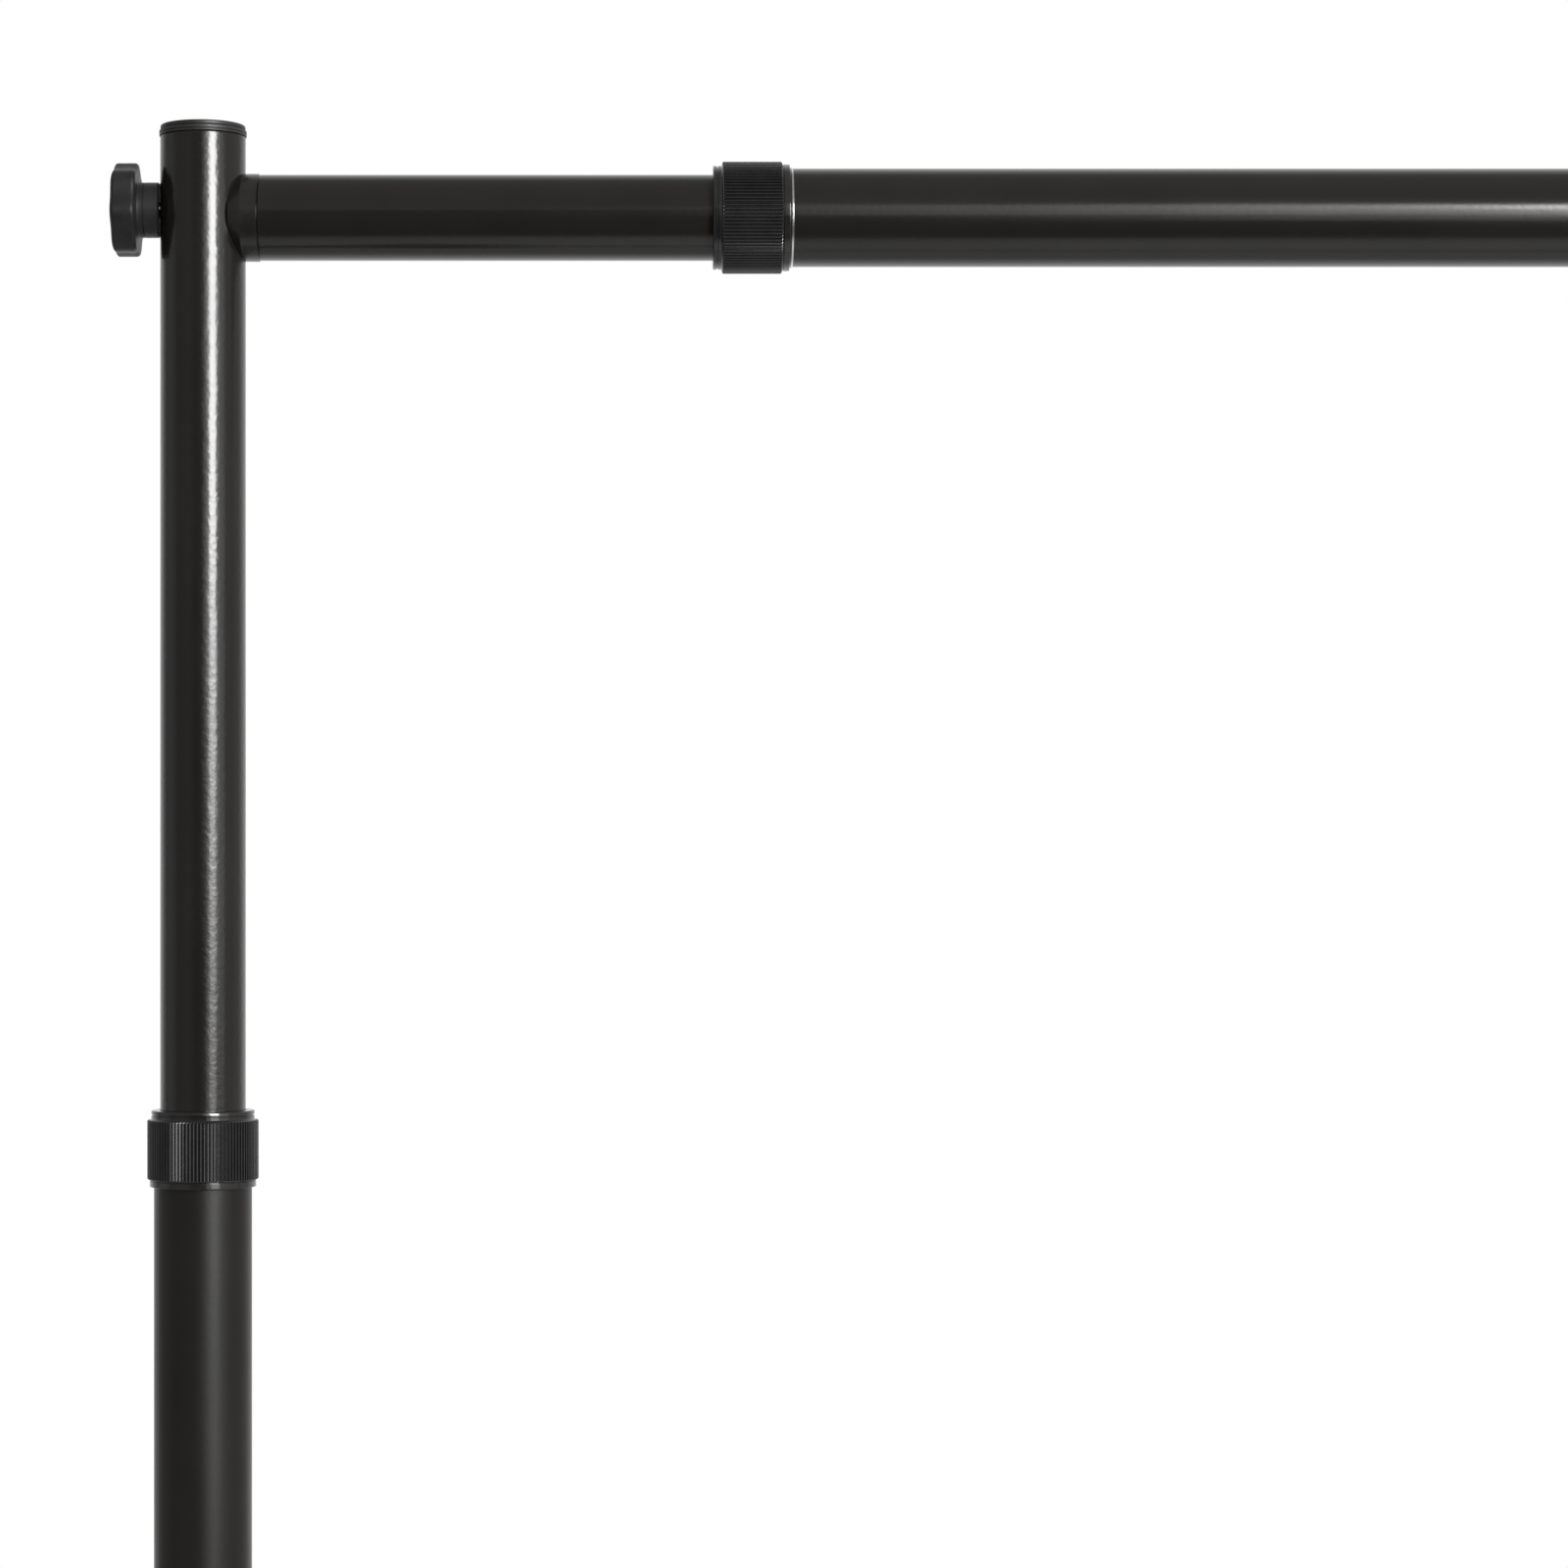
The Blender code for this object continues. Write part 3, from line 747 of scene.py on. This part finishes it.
def knob_mesh(face, back, neck_end, stud_start):
    """Lobed head with a round-edged face, a flared and grooved neck, and a socket for the stud, along Z."""
    rings = [lobe_ring(KNOB_R - KNOB_DISC_R - LOBE_DEPTH, face)]
    for step in range(KNOB_FACE_STEPS + 1):
        t = step / KNOB_FACE_STEPS
        rings.append(lobe_ring(KNOB_FACE_INSET * (1 - t) ** 2, face + KNOB_FACE_EDGE * t**2))
    for inset, depth in reversed(list(quarter_steps(KNOB_BACK_EDGE))):
        rings.append(lobe_ring(inset, back - depth))
    for spread, depth in quarter_steps(NECK_FLARE):
        rings.append(circle(NECK_R + spread, back + depth, KNOB_POINTS))
    groove = back + NECK_GROOVE_AT
    for reach, height in (
        (NECK_R, groove - NECK_GROOVE),
        (NECK_R - NECK_GROOVE, groove),
        (NECK_R, groove + NECK_GROOVE),
        (NECK_R, neck_end - NECK_EDGE),
        (NECK_R - NECK_EDGE, neck_end),
        (STUD_BORE_R, neck_end),
        (STUD_BORE_R, stud_start),
    ):
        rings.append(circle(reach, height, KNOB_POINTS))
    return skinned(rings, closed=False)


def stud_mesh(start, end, radius):
    """Threaded rod along Z."""
    sides = 24
    steps_per_turn = 6
    count = int((end - start) / STUD_PITCH * steps_per_turn)
    rings = []
    for step in range(count + 1):
        height = start + (end - start) * step / count
        near_end = min(height - start, end - height) < STUD_PITCH
        ring = []
        for i in range(sides):
            angle = 2 * math.pi * i / sides
            phase = (height / STUD_PITCH - i / sides) % 1
            depth = STUD_THREAD_DEPTH * (1 if near_end else abs(2 * phase - 1))
            ring.append(((radius - depth) * math.cos(angle), (radius - depth) * math.sin(angle), height))
        rings.append(ring)
    return skinned(rings, closed=False)


def insert_mesh(start, end, radius):
    """Brass bush with a knurled outside and a waist."""
    points_round = 2 * INSERT_TEETH
    middle = (start + end) / 2
    bore_mouth = STUD_BORE_R + INSERT_BORE_EDGE

    def knurl(depth, height):
        points = []
        for i in range(points_round):
            angle = 2 * math.pi * i / points_round
            reach = radius - depth - (KNURL_DEPTH if i % 2 else 0)
            points.append((reach * math.cos(angle), reach * math.sin(angle), height))
        return points

    rings = [
        knurl(INSERT_CHAMFER_DEPTH, start),
        knurl(0, start + INSERT_CHAMFER),
        knurl(0, middle - WAIST_HALF_OUTSIDE),
        knurl(WAIST_DEPTH, middle - WAIST_HALF),
        knurl(WAIST_DEPTH, middle + WAIST_HALF),
        knurl(0, middle + WAIST_HALF_OUTSIDE),
        knurl(0, end - INSERT_CHAMFER),
        knurl(INSERT_CHAMFER_DEPTH, end),
        circle(bore_mouth, end, points_round),
        circle(STUD_BORE_R, end - INSERT_BORE_EDGE, points_round),
        circle(STUD_BORE_R, start + INSERT_BORE_EDGE, points_round),
        circle(bore_mouth, start, points_round),
    ]
    return skinned(rings, closed=True)


def add_corners():
    for level, mast_r in (("top", INNER_R), ("bottom", OUTER_R)):
        for side, sign in SIDES:
            name = f"{level}_{side}"
            corner = corner_frame(level, side, sign)
            origin = corner.translation
            inward = Vector((-sign, 0, 0))
            bolt_rise = centre(f"{name}_stud").z - origin.z
            bolt = corner @ local_frame((0, 0, bolt_rise), (1, 0, 0))

            stem_end = along(f"{name}_saddle", origin, inward)[1]
            stem_length = stem_end - mast_r - SADDLE_RING
            stand_for(f"{name}_saddle", saddle_mesh(mast_r, stem_length, bolt_rise), corner, SADDLE_PLASTIC)

            face, neck_end = along(f"{name}_knob", origin, inward)
            stud_start, stud_end = along(f"{name}_stud", origin, inward)
            head_face = face + KNOB_SETBACK
            head_back = head_face + KNOB_THICKNESS
            knob = knob_mesh(head_face, head_back, neck_end + SEAT_GAP, stud_start - SEAT_GAP)
            stand_for(f"{name}_knob", knob, bolt, KNOB_PLASTIC)
            stud_r = extent(f"{name}_stud").z / 2
            stand_for(f"{name}_stud", stud_mesh(stud_start, stud_end, stud_r), bolt, ZINC)
            insert_r = extent(f"{name}_insert").z / 2
            insert = insert_mesh(*along(f"{name}_insert", origin, inward), insert_r)
            stand_for(f"{name}_insert", insert, bolt, BRASS)


# Feet

def rounded_outline(half_x, half_y, corner, steps=10):
    points = []
    for quarter, (sx, sy) in enumerate(((1, 1), (-1, 1), (-1, -1), (1, -1))):
        for step in range(steps + 1):
            angle = math.pi / 2 * (quarter + step / steps)
            x = sx * (half_x - corner) + corner * math.cos(angle)
            y = sy * (half_y - corner) + corner * math.sin(angle)
            points.append((x, y))
    return points


def rounded_slab(size, corner, edge):
    """Slab from Z = 0 with round corners and round edges."""
    half_x = size.x / 2
    half_y = size.y / 2
    lower = list(quarter_steps(edge))
    upper = [(inset, size.z - depth) for inset, depth in reversed(lower)]
    return skinned(
        [
            [(x, y, z) for x, y in rounded_outline(half_x - inset, half_y - inset, corner - inset)]
            for inset, z in lower + upper
        ],
        closed=False,
    )


def screw_mesh(length, head_r, shank_r):
    """Countersunk screw, head at Z = 0, with a hexagon socket."""
    head_depth = head_r - shank_r
    corners = [
        (SCREW_DISC_R, length, 0),
        (shank_r, length, 0.0008),
        (shank_r, head_depth, 0.0004),
        (head_r, 0.0003, 0.0002),
        (head_r - 0.0003, 0, 0),
        (SCREW_DISC_R, 0, 0),
    ]
    body = turned(filleted(corners, closed=False), closed=False)
    hexagon = turned([(HEX_SOCKET_R, -0.001), (HEX_SOCKET_R, HEX_SOCKET_DEPTH)], closed=False, sides=6)
    return cut(body, (hexagon, Matrix.Identity(4)))


def spigot_mesh(height, radius, bore):
    """Tube with a thick base, bored for the screw."""
    corners = [
        (radius, height, 0.0015),
        (radius, 0, 0.0004),
        (bore, 0, 0.0004),
        (bore, SPIGOT_BASE, 0.0004),
        (radius - SPIGOT_WALL, SPIGOT_BASE, 0.001),
        (radius - SPIGOT_WALL, height, 0.0004),
    ]
    return turned(filleted(corners, closed=True), closed=True)


def add_feet():
    for side, _ in SIDES:
        plate = f"{side}_foot_plate"
        x = centre(plate).x
        floor_gap = low(plate).z
        slab = rounded_slab(extent(plate), FOOT_CORNER_R, FOOT_EDGE)
        screw = f"{side}_foot_screw"
        head_r = extent(screw).x / 2
        sink = low(screw).z - floor_gap
        hole_profile = [
            (head_r + SEAT_GAP, -0.002),
            (head_r + SEAT_GAP, sink),
            (SCREW_SHANK_R + SEAT_GAP, sink + head_r - SCREW_SHANK_R),
            (SCREW_SHANK_R + SEAT_GAP, 0.02),
        ]
        hole = turned(hole_profile, closed=False)
        drilled = cut(slab, (hole, Matrix.Identity(4)))
        stand_for(plate, drilled, Matrix.Translation((x, 0, floor_gap)), FOOT_PAINT)
        screw_place = Matrix.Translation((x, 0, low(screw).z))
        stand_for(screw, screw_mesh(extent(screw).z, head_r, SCREW_SHANK_R), screw_place, ZINC)
        spigot = f"{side}_spigot"
        spigot_place = Matrix.Translation((x, 0, low(spigot).z))
        mesh = spigot_mesh(extent(spigot).z, extent(spigot).x / 2, SCREW_SHANK_R + SEAT_GAP)
        stand_for(spigot, mesh, spigot_place, ZINC)
        for end in ("front", "rear"):
            pad = f"{side}_{end}_pad"
            pad_place = Matrix.Translation((x, centre(pad).y, 0))
            stand_for(pad, rounded_slab(extent(pad), PAD_CORNER_R, PAD_EDGE), pad_place, RUBBER)


# Stage: floor, light and camera

def add_floor():
    """Pale sheet that fades out towards its rim."""
    floor = bpy.data.objects.new("floor", turned([(FLOOR_R, -0.02), (FLOOR_R, -0.0005)], closed=False))
    bpy.context.collection.objects.link(floor)
    finish = Finish("pale_floor", (0.68, 0.68, 0.68), 0.6, specular=0.2)
    finish.vary_colour(finish.noise(0.4), (0.67, 0.67, 0.67), (0.69, 0.69, 0.69))
    nodes = finish.tree.nodes
    links = finish.tree.links
    squash = nodes.new("ShaderNodeMapping")
    squash.inputs["Scale"].default_value = (FLOOR_SQUASH, 1, 0)
    links.new(finish.place, squash.inputs["Vector"])
    length = nodes.new("ShaderNodeVectorMath")
    length.operation = 'LENGTH'
    links.new(squash.outputs["Vector"], length.inputs[0])
    fade = finish.mapped(length.outputs["Value"], *FLOOR_FADE, 0, 1)
    fade.node.interpolation_type = 'SMOOTHSTEP'
    clear = nodes.new("ShaderNodeBsdfTransparent")
    mix = nodes.new("ShaderNodeMixShader")
    links.new(fade, mix.inputs["Fac"])
    links.new(finish.shader.outputs["BSDF"], mix.inputs[1])
    links.new(clear.outputs["BSDF"], mix.inputs[2])
    links.new(mix.outputs["Shader"], nodes["Material Output"].inputs["Surface"])
    floor.data.materials.append(finish.material)


def add_lamp(name, location, target, size, energy, in_reflections):
    lamp = bpy.data.lights.new(name, 'AREA')
    lamp.shape = 'RECTANGLE'
    lamp.size, lamp.size_y = size
    lamp.energy = energy
    thing = bpy.data.objects.new(name, lamp)
    thing.location = location
    thing.rotation_euler = (Vector(target) - Vector(location)).to_track_quat('-Z', 'Y').to_euler()
    thing.visible_glossy = in_reflections
    thing.visible_camera = False
    bpy.context.collection.objects.link(thing)


def add_lights():
    """A tall softbox to the right of the camera and soft light from overhead."""
    for name, x, y, width, bottom, top, level in LIGHT_PANELS:
        place = Vector((x, y, (bottom + top) / 2))
        facing = Vector((centre("left_upper_tube").x, 0, place.z))
        size = (width, top - bottom)
        add_lamp(name, place, facing, size, level * size[0] * size[1], True)
    add_lamp("overhead", OVERHEAD_PLACE, (0.0, 0.0, 0.0), OVERHEAD_SIZE, OVERHEAD_WATTS, False)


def add_world():
    """Studio as the tubes mirror it: white wall behind, bright right side, grey ceiling, dark front."""
    world = bpy.data.worlds.new("studio")
    bpy.context.scene.world = world
    world.use_nodes = True
    nodes = world.node_tree.nodes
    links = world.node_tree.links
    background = nodes["Background"]
    background.inputs["Color"].default_value = (1, 1, 1, 1)
    way = nodes.new("ShaderNodeTexCoord")
    split = nodes.new("ShaderNodeSeparateXYZ")
    links.new(way.outputs["Generated"], split.inputs["Vector"])
    path = nodes.new("ShaderNodeLightPath")
    brightest = path.outputs["Is Camera Ray"]

    def raise_to(value):
        nonlocal brightest
        highest = nodes.new("ShaderNodeMath")
        highest.operation = 'MAXIMUM'
        links.new(brightest, highest.inputs[0])
        links.new(value, highest.inputs[1])
        brightest = highest.outputs["Value"]

    raise_to(path.outputs["Is Transmission Ray"])
    for axis, start, end, dark, bright in WALLS:
        ramp = nodes.new("ShaderNodeMapRange")
        ramp.interpolation_type = 'SMOOTHSTEP'
        ramp.inputs["From Min"].default_value = start
        ramp.inputs["From Max"].default_value = end
        ramp.inputs["To Min"].default_value = dark
        ramp.inputs["To Max"].default_value = bright
        links.new(split.outputs[axis], ramp.inputs["Value"])
        raise_to(ramp.outputs["Result"])
    links.new(brightest, background.inputs["Strength"])


def add_camera():
    data = bpy.data.cameras.new("camera")
    data.lens = FOCAL_LENGTH_PX / IMAGE_SIZE * data.sensor_width
    data.shift_x = (IMAGE_SIZE / 2 - PRINCIPAL_PX[0]) / IMAGE_SIZE
    data.shift_y = (PRINCIPAL_PX[1] - IMAGE_SIZE / 2) / IMAGE_SIZE
    camera = bpy.data.objects.new("camera", data)
    upright_x = centre("left_upper_tube").x
    bar_z = centre("top_centre_tube").z
    camera.location = (
        upright_x + (PRINCIPAL_PX[0] - UPRIGHT_AXIS_PX) / PX_PER_METRE,
        -FOCAL_LENGTH_PX / PX_PER_METRE,
        bar_z - (PRINCIPAL_PX[1] - BAR_AXIS_PX) / PX_PER_METRE,
    )
    camera.rotation_euler = (math.pi / 2, 0, 0)
    bpy.context.collection.objects.link(camera)
    bpy.context.scene.camera = camera


add_tubes()
add_locks()
add_caps()
add_corners()
add_feet()
add_floor()
add_lights()
add_world()
add_camera()
bpy.context.scene.view_settings.view_transform = 'Standard'
